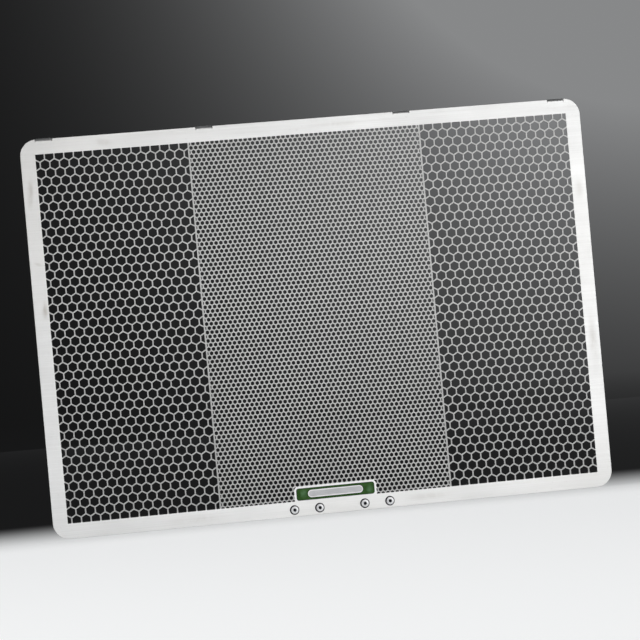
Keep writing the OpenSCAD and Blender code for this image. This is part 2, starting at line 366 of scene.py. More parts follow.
def build(name, verts, faces, mats, angle=30):
    """A mesh object from millimetres of the sheet, smooth where it bends gently."""
    me = bpy.data.meshes.new(name)
    me.from_pydata(place(verts).tolist(), [], faces)
    me.polygons.foreach_set("material_index", np.array(mats, np.int32))
    me.validate(verbose=False)
    loose = set(range(len(me.vertices))) - set(np.unique([v for f in faces for v in f]).tolist())
    if loose:
        import bmesh

        bm = bmesh.new()
        bm.from_mesh(me)
        bm.verts.ensure_lookup_table()
        bmesh.ops.delete(bm, geom=[bm.verts[i] for i in loose], context="VERTS")
        bm.to_mesh(me)
        bm.free()
    me.shade_smooth()
    me.set_sharp_from_angle(angle=math.radians(angle))
    ob = bpy.data.objects.new(name, me)
    bpy.context.scene.collection.objects.link(ob)
    return ob


# ---------------------------------------------------------------- the guard's sheet
FOLD_N = TAB_R - T / 2  # neutral radius
FOLD_L = FOLD_N * math.pi / 2
Y_BACK = -T + TAB_R
Y_LIP = HOOK_GAP + T - TAB_R
FLANGE = Y_LIP - Y_BACK


def bend_guard(u, s, d):
    """The front sheet is flat. Past the turning line a tab folds back and its lip folds down."""
    x, y, z = u.copy(), -d.copy(), s.copy()
    a = s - TURN
    on = (a > 1e-6) & (np.abs(u[:, None] - TABS).min(1) < TAB_W / 2 + 1e-3)
    rho = TAB_R - T + d
    k = on & (a <= FOLD_L)
    th = a / FOLD_N
    y[k], z[k] = (Y_BACK - rho * np.cos(th))[k], (TURN + rho * np.sin(th))[k]
    k = on & (a > FOLD_L) & (a <= FOLD_L + FLANGE)
    y[k], z[k] = (Y_BACK + a - FOLD_L)[k], (TURN + rho)[k]
    k = on & (a > FOLD_L + FLANGE) & (a <= 2 * FOLD_L + FLANGE)
    ph = (a - FOLD_L - FLANGE) / FOLD_N
    y[k], z[k] = (Y_LIP + rho * np.sin(ph))[k], (TURN + rho * np.cos(ph))[k]
    k = on & (a > 2 * FOLD_L + FLANGE)
    y[k], z[k] = (Y_LIP + rho)[k], (TURN - (a - 2 * FOLD_L - FLANGE))[k]
    return np.c_[x, y, z]


def tab_heights():
    """Where an edge crosses a tab, so that its folds are round: past the turning line."""
    n, eps = 8, 0.04
    s = [-eps] + [FOLD_L * k / n for k in range(n + 1)] + [FOLD_L + eps]
    s += [FOLD_L + FLANGE * k / 4 for k in (1, 2, 3)]
    s += [FOLD_L + FLANGE - eps] + [FOLD_L + FLANGE + FOLD_L * k / n for k in range(n + 1)]
    s += [2 * FOLD_L + FLANGE + eps]
    return [TURN + v for v in s]


def guard_outline():
    """The outer loop of the flat pattern, and the pairs of its points that the tabs' fold lines join."""
    pts, pairs = [], []
    x, z, r = W / 2 - CORNER_R, H / 2 - CORNER_R, CORNER_R
    top = H / 2
    pts += arc(-x, -z, r, 180, 270, 16)
    pts += [(-x + 0.5, -top), (x - 0.5, -top)]
    pts += arc(x, -z, r, 270, 360, 16)
    pts += [(W / 2, -z + 0.5), (W / 2, z - 0.5)]
    last = math.degrees(math.acos((TABS[3] + TAB_W / 2 + SLOT_W - x) / r))
    pts += arc(x, z, r, 0, last, 16)
    for tx in TABS[::-1]:
        sr = SLOT_W / 2
        if tx != TABS[3]:
            pts.append((tx + TAB_W / 2 + SLOT_W, top))
        pts += arc(tx + TAB_W / 2 + sr, TURN - 0.06, sr, 0, -180, 8)
        right = []
        for s in tab_heights():
            right.append(len(pts))
            pts.append((tx + TAB_W / 2, s))
        end = TURN + 2 * FOLD_L + FLANGE + LIP
        pts += arc(tx + TAB_W / 2 - LIP_R, end - LIP_R, LIP_R, 0, 90, 8)
        pts += arc(tx - TAB_W / 2 + LIP_R, end - LIP_R, LIP_R, 90, 180, 8)
        left = []
        for s in tab_heights()[::-1]:
            left.append(len(pts))
            pts.append((tx - TAB_W / 2, s))
        pairs += list(zip(right, left[::-1]))
        pts += arc(tx - TAB_W / 2 - sr, TURN - 0.06, sr, 0, -180, 8)
        if tx != TABS[0]:
            pts.append((tx - TAB_W / 2 - SLOT_W, top))
    pts += arc(-x, z, r, 180 - last, 180, 16)
    pts += [(-W / 2, z - 0.5), (-W / 2, -z + 0.5)]
    return pts, pairs


def guard_sheet():
    outer, folds = guard_outline()
    loops = [(outer, 0.1)]
    loops += [(c, 0) for c in cells()]
    loops += [(ring(x, RIVET_Z, RIVET_D / 2, 32), 0) for x in RIVETS.values()]
    field = round_rect(EM_X, EM_MID, EM_W, EM_H, EM_R, 8)
    bar = round_rect(EM_X, EM_MID, BAR_L, BAR_H, BAR_H / 2 - 0.01, 12)
    ph = BAR_H - 2 * BAR_EDGE
    panel = round_rect(EM_X, EM_MID, BAR_L - 2 * BAR_EDGE, ph, ph / 2 - 0.01, 12)
    low, mid = T - RECESS, T - PANEL

    def level(x, z):
        p = (x, z)
        if not (abs(x - EM_X) < EM_W / 2 and abs(z - EM_MID) < EM_H / 2) or not within(field, p):
            return T
        if within(panel, p):
            return mid
        return T if within(bar, p) else low

    steps = [(field[::-1], T, low), (bar, T, low), (panel[::-1], T, mid)]
    return folded("guard_sheet", loops, T, bend_guard, folds, steps, level, mapped=True)


# ---------------------------------------------------------------- brackets
def bend_bracket(u, s, d):
    """Upright behind the rail, then folded back below it."""
    base = FOOT + BR_FOLD
    neutral = BR_FOLD - BR_T / 2
    length = neutral * math.pi / 2
    x, y, z = u.copy(), BR_T - d, s.copy()
    a, rho = base - s, BR_FOLD - BR_T + d
    k = (a > 1e-6) & (a <= length)
    th = a / neutral
    y[k], z[k] = (BR_FOLD - rho * np.cos(th))[k], (base - rho * np.sin(th))[k]
    k = a > length
    y[k], z[k] = (BR_FOLD + a - length)[k], (base - rho)[k]
    return np.c_[x, y, z]


def bracket(name, cx, rivets):
    base = FOOT + BR_FOLD
    length = (BR_FOLD - BR_T / 2) * math.pi / 2
    end = base - length - (BR_DEPTH - BR_FOLD)
    x0, x1, n = cx - BR_W / 2, cx + BR_W / 2, 10
    rows = [base + 0.04] + [base - length * k / n for k in range(n + 1)] + [base - length - 0.04]
    pts = arc(x0 + BR_EAR, end + BR_EAR, BR_EAR, 180, 270, 12) + arc(x1 - BR_EAR, end + BR_EAR, BR_EAR, 270, 360, 12)
    right = []
    for s in rows[::-1]:
        right.append(len(pts))
        pts.append((x1, s))
    pts += arc(x1 - 2, BR_TOP - 2, 2, 0, 90, 8) + arc(x0 + 2, BR_TOP - 2, 2, 90, 180, 8)
    left = []
    for s in rows:
        left.append(len(pts))
        pts.append((x0, s))
    bolt = base - length - (BOLT_Y - BR_FOLD)
    loops = [(pts, 0.14), (ring(cx, bolt, BOLT_D / 2, 48), 0.14)]
    loops += [(ring(x, RIVET_Z, RIVET_D / 2, 32), 0) for x in rivets]
    return folded(name, loops, BR_T, bend_bracket, list(zip(right, left[::-1])), wall=0)


# ---------------------------------------------------------------- enamel
def enamel():
    """Enamel that wets the edges of its recess and sinks a little between them."""
    outer = round_rect(EM_X, EM_MID, EM_W, EM_H, EM_R, 10)
    bar = round_rect(EM_X, EM_MID, BAR_L, BAR_H, BAR_H / 2 - 0.01, 16)[::-1]
    points, edges, depth = [], [], []
    for loop in (outer, bar):
        for d in (0.0, 0.08, 0.2, 0.36, 0.56, 0.76):
            at = len(points)
            q = inset(loop, d) if d else np.asarray(loop, float)
            points += [tuple(v) for v in q]
            depth += [d] * len(q)
            edges += [(at + i, at + (i + 1) % len(q)) for i in range(len(q))]
    for sx in (-1, 1):  # the wide ends
        for i in range(9):
            for j in range(-4, 5):
                p = (EM_X + sx * (BAR_L / 2 + 0.4 + 0.75 * i), EM_MID + 0.7 * j + 0.17 * (i % 2))
                if within([tuple(v) for v in inset(outer, 1.0)], p) and not within([tuple(v) for v in inset(bar, 1.0)][::-1], p):
                    points.append(p)
                    depth.append(1.0)
    tri = triangulated(points, edges)
    flat = np.array(points)
    mid = flat[tri].mean(1)
    keep = np.array([not within(bar[::-1], m) for m in mid])
    tri = tri[keep]
    p, q, r = (flat[tri[:, k]] for k in range(3))
    turn = (q[:, 0] - p[:, 0]) * (r[:, 1] - p[:, 1]) - (q[:, 1] - p[:, 1]) * (r[:, 0] - p[:, 0])
    tri[turn < 0] = tri[turn < 0][:, ::-1]
    depth = np.array(depth)
    n = len(flat)
    x, z = flat.T
    sink = 0.07 * (1 - np.exp(-((depth / 0.42) ** 2)))
    wave = 0.006 * (np.sin(x * 0.83 + 1.3 * z) + np.sin(1.9 * z - 0.57 * x + 0.8)) * np.minimum(depth, 0.6)
    front = -T + RECESS - ENAMEL_T + sink + wave
    verts = np.concatenate([np.c_[x, front, z], np.c_[x, np.full(n, -T + RECESS), z]])
    faces = tri.tolist() + (tri[:, ::-1] + n).tolist()
    for at, m in ((0, len(outer)), (6 * len(outer), len(bar))):
        a = at + np.arange(m)
        b = np.roll(a, -1)
        faces += np.c_[a, a + n, b + n, b].tolist()
    ob = build("emblem_enamel_fill", verts, faces, [0] * len(faces), 50)
    rim = ob.data.attributes.new("rim", "FLOAT", "POINT")
    rim.data.foreach_set("value", np.r_[depth, np.zeros(n)].astype(np.float32))
    return ob


# ---------------------------------------------------------------- turned parts
def turned(name, profile, cx, n, closed, wobble=None):
    """A profile of (radius, length) turned about an axis along y through (cx, RIVET_Z), its length measured back from the sheet's front face."""
    verts, faces, tags = [], [], []
    rows = []
    for k, (r, y) in enumerate(profile):
        if r < 1e-6:
            rows.append([len(verts)])
            verts.append((cx, y - T, RIVET_Z))
            continue
        row = []
        for i in range(n):
            a = 2 * math.pi * i / n
            dr, dy = wobble(k, a) if wobble else (0.0, 0.0)
            row.append(len(verts))
            verts.append((cx + (r + dr) * math.cos(a), y + dy - T, RIVET_Z + (r + dr) * math.sin(a)))
        rows.append(row)
    pairs = list(zip(rows, rows[1:] + rows[:1])) if closed else list(zip(rows, rows[1:]))
    for a, b in pairs:
        for i in range(n):
            j = (i + 1) % n
            if len(a) == 1:
                faces.append((a[0], b[j], b[i]))
            elif len(b) == 1:
                faces.append((a[i], a[j], b[0]))
            else:
                faces.append((a[i], a[j], b[j], b[i]))
    return build(name, verts, faces, [0] * len(faces), 38)


GRIP, TAIL = T + BR_T, 3.2
CROWN_R, SHOULDER = 15.0, 0.9


def rivet_profile():
    """From the bore's mouth over the head, down the body and tail, and back along the bore."""
    b, hr = BORE_D / 2, HEAD_D / 2
    sx = hr - SHOULDER
    sy = CROWN_R - HEAD_H - math.sqrt((CROWN_R - SHOULDER) ** 2 - sx**2)
    crown = lambda r: -HEAD_H + CROWN_R - math.sqrt(CROWN_R**2 - r * r)
    out = [(b, -0.84), (b + 0.03, -0.93), (b + 0.13, crown(1.1) + 0.075), (b + 0.22, crown(1.2) + 0.02), (1.28, crown(1.28))]
    # a faint ring pressed in by the setting tool
    for r, dent in ((1.55, 0), (1.8, 0), (1.95, 0.012), (2.06, 0.02), (2.16, 0.012), (2.28, 0), (2.4, 0)):
        out.append((r, crown(r) + dent))
    start = math.degrees(math.asin(sx / (CROWN_R - SHOULDER)))
    for k in range(12):
        a = math.radians(start + (89 - start) * k / 11)
        out.append((sx + SHOULDER * math.sin(a), sy - SHOULDER * math.cos(a)))
    out += [(hr - 0.02, -0.001), (hr - 0.12, 0.0), (RIVET_D / 2 + 0.08, 0.0), (RIVET_D / 2, 0.06)]
    out += [(RIVET_D / 2, GRIP - 0.05), (1.7, GRIP + 0.02)]
    for r, y in ((1.98, 0.1), (2.14, 0.28), (2.2, 0.55), (2.19, 1.0), (2.13, 1.5), (2.12, 1.9), (2.16, 2.3), (2.17, 2.6), (2.1, 2.88), (1.94, 3.08), (1.72, 3.18), (1.55, 3.2)):
        out.append((r, GRIP + y))
    out += [(b + 0.05, GRIP + TAIL), (b, GRIP + TAIL - 0.05)]
    return out


def rivet(name, key, seed):
    prof = rivet_profile()
    last = len(prof)

    def wobble(k, a):
        # the tail is pressed a little out of round; the head stays true but for its setting dents
        if 28 < k < last - 3:
            return (-0.025 + 0.022 * math.sin(3 * a + seed) + 0.012 * math.sin(5 * a + 2 * seed), 0.0)
        if 4 < k < 12:
            return (0.0, 0.004 * (1 + math.sin(2 * a + 1.7 * seed)))
        return (0.0, 0.0)

    ob = turned(name, prof, RIVETS[key], 72, True, wobble)
    co = np.empty(len(ob.data.vertices) * 3, np.float32)
    ob.data.vertices.foreach_get("co", co)
    co = co.reshape(-1, 3).astype(float) * 1000 + ORIGIN
    r = np.hypot(co[:, 0] - RIVETS[key], co[:, 2] - RIVET_Z)
    at = ob.data.attributes.new("radius", "FLOAT", "POINT")
    at.data.foreach_set("value", r.astype(np.float32))
    return ob


def mandrel(name, key, seed):
    """A pin broken off in the head's bore, and its own head at the far end."""
    b = BORE_D / 2
    y0 = -HEAD_H + 0.65
    end = GRIP + TAIL
    prof = [(0.0, y0 + 0.05), (0.2, y0 + 0.04), (0.4, y0 + 0.02), (0.58, y0 + 0.03), (0.7, y0 + 0.1), (0.8, y0 + 0.24), (b - 0.03, y0 + 0.42), (b - 0.005, y0 + 0.6)]
    k_break = 5
    prof += [(b - 0.005, end - 0.04), (1.4, end + 0.005), (1.48, end + 0.06), (1.5, end + 0.14), (1.5, end + 0.44)]
    cy = end + 0.5 - 1.2
    for k in range(9):
        a = math.radians(50.5 * (1 - k / 8))
        prof.append((1.92 * math.sin(a) if k < 8 else 0.0, cy + 1.92 * math.cos(a)))

    def wobble(k, a):
        if 0 < k <= k_break:
            return (0.03 * math.sin(4 * a + seed + k), 0.035 * math.sin(3 * a + seed * 2 + k) + 0.02 * math.sin(7 * a + seed))
        return (0.0, 0.0)

    return turned(name, prof, RIVETS[key], 48, False, wobble)


# ---------------------------------------------------------------- node helpers
class Nodes:
    """Short calls for making a material's nodes."""

    def __init__(self, name):
        self.mat = bpy.data.materials.new(name)
        self.mat.use_nodes = True
        self.nt = self.mat.node_tree
        self.nt.nodes.clear()
        out = self.nt.nodes.new("ShaderNodeOutputMaterial")
        self.bsdf = self.nt.nodes.new("ShaderNodeBsdfPrincipled")
        self.nt.links.new(self.bsdf.outputs["BSDF"], out.inputs["Surface"])
        self.here = self.nt.nodes.new("ShaderNodeTexCoord").outputs["Object"]

    def put(self, value, socket):
        if isinstance(value, bpy.types.NodeSocket):
            self.nt.links.new(value, socket)
        else:
            socket.default_value = value

    def set(self, **values):
        for name, value in values.items():
            self.put(value, self.bsdf.inputs[name.replace("_", " ")])

    def scaled(self, xyz, vec=None):
        n = self.nt.nodes.new("ShaderNodeVectorMath")
        n.operation = "MULTIPLY"
        self.put(vec or self.here, n.inputs[0])
        n.inputs[1].default_value = xyz
        return n.outputs[0]

    def noise(self, xyz, detail=2.0, rough=0.5, distort=0.0, vec=None):
        """Noise with xyz features to a metre."""
        n = self.nt.nodes.new("ShaderNodeTexNoise")
        self.put(self.scaled(xyz, vec), n.inputs["Vector"])
        n.inputs["Scale"].default_value = 1.0
        n.inputs["Detail"].default_value = detail
        n.inputs["Roughness"].default_value = rough
        n.inputs["Distortion"].default_value = distort
        return n.outputs[0]

    def math(self, op, a, b=0.0, c=0.0, clamp=False):
        n = self.nt.nodes.new("ShaderNodeMath")
        n.operation, n.use_clamp = op, clamp
        self.put(a, n.inputs[0])
        self.put(b, n.inputs[1])
        self.put(c, n.inputs[2])
        return n.outputs[0]

    def span(self, value, a, b, c, d, smooth=True):
        """value from a..b to c..d."""
        n = self.nt.nodes.new("ShaderNodeMapRange")
        n.interpolation_type = "SMOOTHSTEP" if smooth else "LINEAR"
        for k, v in enumerate((value, a, b, c, d)):
            self.put(v, n.inputs[k])
        return n.outputs[0]

    def mix(self, fac, a, b):
        n = self.nt.nodes.new("ShaderNodeMix")
        n.data_type = "RGBA"
        self.put(fac, n.inputs[0])
        self.put(a if isinstance(a, bpy.types.NodeSocket) else (*a, 1.0), n.inputs[6])
        self.put(b if isinstance(b, bpy.types.NodeSocket) else (*b, 1.0), n.inputs[7])
        return n.outputs[2]

    def bump(self, height, strength, distance, normal=None):
        n = self.nt.nodes.new("ShaderNodeBump")
        n.inputs["Strength"].default_value = strength
        n.inputs["Distance"].default_value = distance
        self.put(height, n.inputs["Height"])
        if normal is not None:
            self.put(normal, n.inputs["Normal"])
        return n.outputs["Normal"]

    def attribute(self, name):
        n = self.nt.nodes.new("ShaderNodeAttribute")
        n.attribute_name = name
        return n.outputs["Fac"]

    def blot(self, x, z, rx, rz, turn=0.0):
        """1 in the middle of an oval on the front face and 0 past its edge, in the sheet's millimetres."""
        c = place((x, 0.0, z))
        n = self.nt.nodes.new("ShaderNodeMapping")
        n.vector_type = "TEXTURE"
        self.put(self.here, n.inputs["Vector"])
        n.inputs["Location"].default_value = (c[0], 0.0, c[2])
        n.inputs["Rotation"].default_value = (0.0, math.radians(turn), 0.0)
        n.inputs["Scale"].default_value = (rx * 0.001, 1e3, rz * 0.001)
        v = self.nt.nodes.new("ShaderNodeVectorMath")
        v.operation = "LENGTH"
        self.put(n.outputs[0], v.inputs[0])
        return self.span(v.outputs["Value"], 1.0, 0.0, 0.0, 1.0)

    def box(self, x0, x1, z0, z1, soft=0.3):
        """1 inside a rectangle seen from the front and 0 outside it, in the sheet's millimetres."""
        lo, hi = place((x0, 0.0, z0)), place((x1, 0.0, z1))
        sep = self.nt.nodes.new("ShaderNodeSeparateXYZ")
        self.put(self.here, sep.inputs[0])
        s, out = soft * 0.001, None
        for axis in (0, 2):
            for v, way in ((lo[axis], 1), (hi[axis], -1)):
                k = self.span(sep.outputs[axis], v - way * s, v + way * s, 0.0, 1.0)
                out = k if out is None else self.math("MULTIPLY", out, k)
        return out


# ---------------------------------------------------------------- materials
def stainless_face():
    """Bright stainless sheet, finely brushed along its length, with faint clouds and a few handling marks."""
    m = Nodes("stainless_brushed")
    fine = m.noise((55.0, 400.0, 7200.0), 3.0, 0.65)
    lines = m.noise((14.0, 120.0, 1500.0), 3.0, 0.6)
    cloud = m.noise((16.0, 16.0, 22.0), 4.0, 0.55, 0.4)
    broad = m.noise((5.0, 5.0, 6.0), 2.0, 0.5)
    tone = m.math("MULTIPLY_ADD", lines, 0.55, m.math("MULTIPLY", cloud, 0.45))
    colour = m.mix(m.span(tone, 0.3, 0.7, 0.0, 1.0), (0.86, 0.862, 0.862), (0.79, 0.79, 0.785))
    warm = m.span(broad, 0.42, 0.68, 0.0, 0.35)
    colour = m.mix(warm, colour, (0.82, 0.805, 0.775))
    speck = m.noise((420.0, 420.0, 420.0), 2.0, 0.6)
    smear = m.noise((150.0, 150.0, 60.0), 4.0, 0.65, 0.8)
    # handling marks and old drips: place, size, lean and strength
    marks = (
        (-188.8, 97.0, 3.0, 13.0, 6.0, 0.50),
        (-187.5, 50.0, 4.5, 1.6, 20.0, 0.35),
        (-186.0, 19.0, 3.0, 8.0, 0.0, 0.55),
        (-137.0, 127.5, 9.0, 3.2, 8.0, 0.22),
        (188.5, -34.0, 4.0, 26.0, 0.0, 0.32),
        (188.0, 71.0, 4.0, 9.0, 0.0, 0.22),
        (64.0, -127.6, 22.0, 3.4, 0.0, 0.20),
        (-96.0, -128.0, 30.0, 3.6, 0.0, 0.18),
        (24.0, 127.6, 26.0, 3.4, 0.0, 0.18),
    )
    stain = None
    for x, z, rx, rz, turn, s in marks:
        b = m.math("MULTIPLY", m.blot(x, z, rx, rz, turn), s)
        stain = b if stain is None else m.math("MAXIMUM", stain, b)
    stain = m.math("MULTIPLY", stain, m.span(smear, 0.3, 0.62, 0.25, 1.0))
    colour = m.mix(stain, colour, (0.50, 0.465, 0.41))
    colour = m.mix(m.span(speck, 0.66, 0.8, 0.0, 0.25), colour, (0.62, 0.61, 0.6))
    rough = m.math("MULTIPLY_ADD", lines, 0.12, m.math("MULTIPLY_ADD", cloud, 0.08, 0.27))
    rough = m.math("MULTIPLY_ADD", stain, 0.16, rough)
    # the narrow webs are painted darker and a little rougher than the rails; the darkening that deepens low down is
    # painted shade
    webs = m.math("SUBTRACT", m.box(-183.0, 183.0, -122.5, 122.5), m.box(EM_X - 28.6, EM_X + 28.6, -124.0, -112.9), clamp=True)
    low = m.box(-400.0, 400.0, -400.0, -30.0, 80.0)
    web_shade = m.mix(low, (0.54, 0.54, 0.535), (0.405, 0.405, 0.4))
    colour = m.mix(m.math("MULTIPLY", webs, m.span(cloud, 0.3, 0.7, 0.95, 0.8)), colour, web_shade)
    rough = m.math("MULTIPLY_ADD", webs, 0.05, rough)
    n = m.bump(fine, 0.22, 0.00002)
    n = m.bump(broad, 0.5, 0.0004, n)
    m.set(Base_Color=colour, Metallic=1.0, Roughness=rough, Normal=n)
    return m.mat


def etched_edge():
    """The etched walls of the openings: duller and greyer than the face, with a fine grain."""
    m = Nodes("stainless_etched")
    grain = m.noise((2600.0, 2600.0, 2600.0), 3.0, 0.6)
    patch = m.noise((90.0, 90.0, 90.0), 3.0, 0.5)
    colour = m.mix(grain, (0.50, 0.50, 0.49), (0.62, 0.62, 0.61))
    colour = m.mix(m.span(patch, 0.4, 0.75, 0.0, 0.4), colour, (0.44, 0.43, 0.41))
    rough = m.span(grain, 0.2, 0.8, 0.42, 0.6)
    m.set(Base_Color=colour, Metallic=1.0, Roughness=rough, Normal=m.bump(grain, 0.5, 0.00003))
    return m.mat


def etched_floor():
    """The frosted floor of the etched panel and recess."""
    m = Nodes("stainless_frosted")
    grain = m.noise((3400.0, 3400.0, 3400.0), 3.0, 0.65)
    cloud = m.noise((140.0, 140.0, 260.0), 3.0, 0.55)
    colour = m.mix(m.span(cloud, 0.3, 0.7, 0.0, 1.0), (0.66, 0.665, 0.68), (0.58, 0.585, 0.6))
    colour = m.mix(m.span(grain, 0.45, 0.8, 0.0, 0.5), colour, (0.48, 0.485, 0.5))
    m.set(Base_Color=colour, Metallic=1.0, Roughness=m.span(grain, 0.2, 0.8, 0.4, 0.56), Normal=m.bump(grain, 0.4, 0.00002))
    return m.mat


def green_enamel():
    """Glossy green enamel, deeper in colour where it is thicker against its edges and darker at its left end, with
    painted reflections as paler patches near both ends.
    """
    m = Nodes("enamel_green")
    rim = m.attribute("rim")
    cloud = m.noise((260.0, 260.0, 420.0), 3.0, 0.55, 0.6)
    fleck = m.noise((1700.0, 1700.0, 1700.0), 2.0, 0.5)
    deep, mid, pale = (0.020, 0.085, 0.006), (0.042, 0.125, 0.022), (0.125, 0.260, 0.120)
    colour = m.mix(m.span(cloud, 0.35, 0.68, 0.0, 1.0), mid, deep)
    # painted reflection: paler patches near both ends of the enamel
    ends = m.math("MAXIMUM", m.blot(EM_X - 22.0, EM_MID + 0.4, 3.4, 3.6), m.blot(EM_X + 23.6, EM_MID - 0.6, 3.2, 3.8))
    ends = m.math("MULTIPLY", ends, m.span(cloud, 0.25, 0.65, 1.0, 0.45))
    colour = m.mix(ends, colour, pale)
    # darker at the left end
    colour = m.mix(m.blot(EM_X - 26.0, EM_MID, 2.2, 4.2), colour, (0.016, 0.078, 0.002))
    colour = m.mix(m.span(rim, 0.1, 0.85, 0.9, 0.0), colour, (0.007, 0.036, 0.006))
    colour = m.mix(m.span(fleck, 0.62, 0.78, 0.0, 0.35), colour, (0.11, 0.2, 0.1))
    rough = m.span(cloud, 0.3, 0.7, 0.20, 0.32)
    m.set(Base_Color=colour, Metallic=0.0, Roughness=rough, Specular_IOR_Level=0.12)
    m.set(Coat_Weight=0.08, Coat_Roughness=0.06, Coat_IOR=1.5)
    m.set(Normal=m.bump(m.noise((700.0, 700.0, 900.0), 2.0, 0.5), 0.12, 0.00005))
    return m.mat


def rivet_alloy():
    """Rolled alloy: a bright crown, a near-black band on the sloping edge of the head painted as shade and dark
    reflection, dirt with painted shade where the head meets the sheet, and painted shade at the bore's mouth.
    """
    m = Nodes("rivet_alloy_set")
    r = m.attribute("radius")
    grain = m.noise((1500.0, 1500.0, 1500.0), 3.0, 0.6)
    patch = m.noise((330.0, 330.0, 330.0), 3.0, 0.6)
    colour = m.mix(m.span(patch, 0.3, 0.7, 0.0, 1.0), (0.87, 0.875, 0.885), (0.78, 0.785, 0.8))
    turned_on = m.math("SINE", m.math("MULTIPLY", r, 62.0))
    # painted shade and dark reflection on the sloping edge of the head
    flank_shade = m.math("MULTIPLY_ADD", grain, 0.16, m.span(r, 2.30, 2.66, -0.08, 0.92))
    colour = m.mix(m.math("MAXIMUM", flank_shade, 0.0, clamp=True), colour, (0.026, 0.026, 0.032))
    # dirt and painted shade in the gap where the head meets the sheet
    dirt_and_shade = m.math("MULTIPLY_ADD", patch, 0.3, m.span(r, 3.12, 3.24, 0.0, 0.7))
    colour = m.mix(m.span(dirt_and_shade, 0.3, 0.9, 0.0, 0.9), colour, (0.06, 0.06, 0.065))
    # painted shade at the mouth of the bore
    mouth = m.span(r, 1.26, 1.04, 0.0, 0.92)
    colour = m.mix(mouth, colour, (0.06, 0.06, 0.075))
    rough = m.math("MULTIPLY_ADD", grain, 0.16, m.span(r, 2.4, 3.0, 0.26, 0.42))
    n = m.bump(turned_on, 0.05, 0.00002)
    n = m.bump(grain, 0.25, 0.00003, n)
    m.set(Base_Color=colour, Metallic=1.0, Roughness=rough, Normal=n)
    return m.mat


def mandrel_steel():
    """Broken steel pin, dark with a bluish plating, painted darker still as the shade down in the head's bore."""
    m = Nodes("mandrel_dark")
    grain = m.noise((2200.0, 2200.0, 2200.0), 4.0, 0.7)
    patch = m.noise((520.0, 520.0, 520.0), 2.0, 0.5)
    # the near-black colour is partly painted shade in the bore
    colour = m.mix(m.span(grain, 0.3, 0.75, 0.0, 1.0), (0.014, 0.0145, 0.022), (0.040, 0.040, 0.052))
    colour = m.mix(m.span(patch, 0.5, 0.75, 0.0, 0.5), colour, (0.045, 0.034, 0.026))
    m.set(Base_Color=colour, Metallic=1.0, Roughness=m.span(grain, 0.2, 0.8, 0.42, 0.65), Normal=m.bump(grain, 0.6, 0.00005))
    return m.mat


def bracket_finish():
    """Mill-finished stainless with a rolling grain across it, and scuffs here and there."""
    m = Nodes("bracket_mill_finish")
    roll = m.noise((1900.0, 30.0, 30.0), 3.0, 0.6)
    wide = m.noise((300.0, 12.0, 12.0), 3.0, 0.6)
    cloud = m.noise((55.0, 55.0, 55.0), 4.0, 0.6, 0.5)
    scuff = m.noise((900.0, 900.0, 120.0), 3.0, 0.7, 0.6)
    colour = m.mix(m.span(wide, 0.3, 0.7, 0.0, 1.0), (0.74, 0.74, 0.735), (0.66, 0.66, 0.655))
    colour = m.mix(m.span(cloud, 0.45, 0.75, 0.0, 0.6), colour, (0.58, 0.565, 0.54))
    colour = m.mix(m.span(scuff, 0.6, 0.76, 0.0, 0.35), colour, (0.82, 0.82, 0.82))
    rough = m.math("MULTIPLY_ADD", wide, 0.14, m.math("MULTIPLY_ADD", cloud, 0.14, 0.22))
    n = m.bump(roll, 0.2, 0.00002)
    n = m.bump(scuff, 0.12, 0.00003, n)
    m.set(Base_Color=colour, Metallic=1.0, Roughness=rough, Normal=n)
    return m.mat


# ---------------------------------------------------------------- the object
def dress(ob, slot, replaces, *materials):
    for mat in materials:
        ob.data.materials.append(mat)
    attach(ob, "root")
    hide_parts(replaces)
    return ob


face, edge, frost = stainless_face(), etched_edge(), etched_floor()
dress(guard_sheet(), "stainless_sheet", "guard_plate", face, edge, frost)
dress(enamel(), "green_enamel", "emblem_enamel", green_enamel())

mill = bracket_finish()
dress(bracket("bracket_left_folded", BRACKETS["left"], (RIVETS["left_outer"], RIVETS["left_inner"])), "bracket_steel", "bracket_left", mill)
dress(bracket("bracket_right_folded", BRACKETS["right"], (RIVETS["right_inner"], RIVETS["right_outer"])), "bracket_steel", "bracket_right", mill)

alloy, dark = rivet_alloy(), mandrel_steel()
for k, key in enumerate(RIVETS):
    dress(rivet(f"rivet_{key}_body", key, 1.0 + 1.9 * k), "rivet_alloy", f"rivet_{key}", alloy)
    dress(mandrel(f"mandrel_{key}_pin", key, 0.7 + 2.3 * k), "mandrel_steel", f"mandrel_{key}", dark)


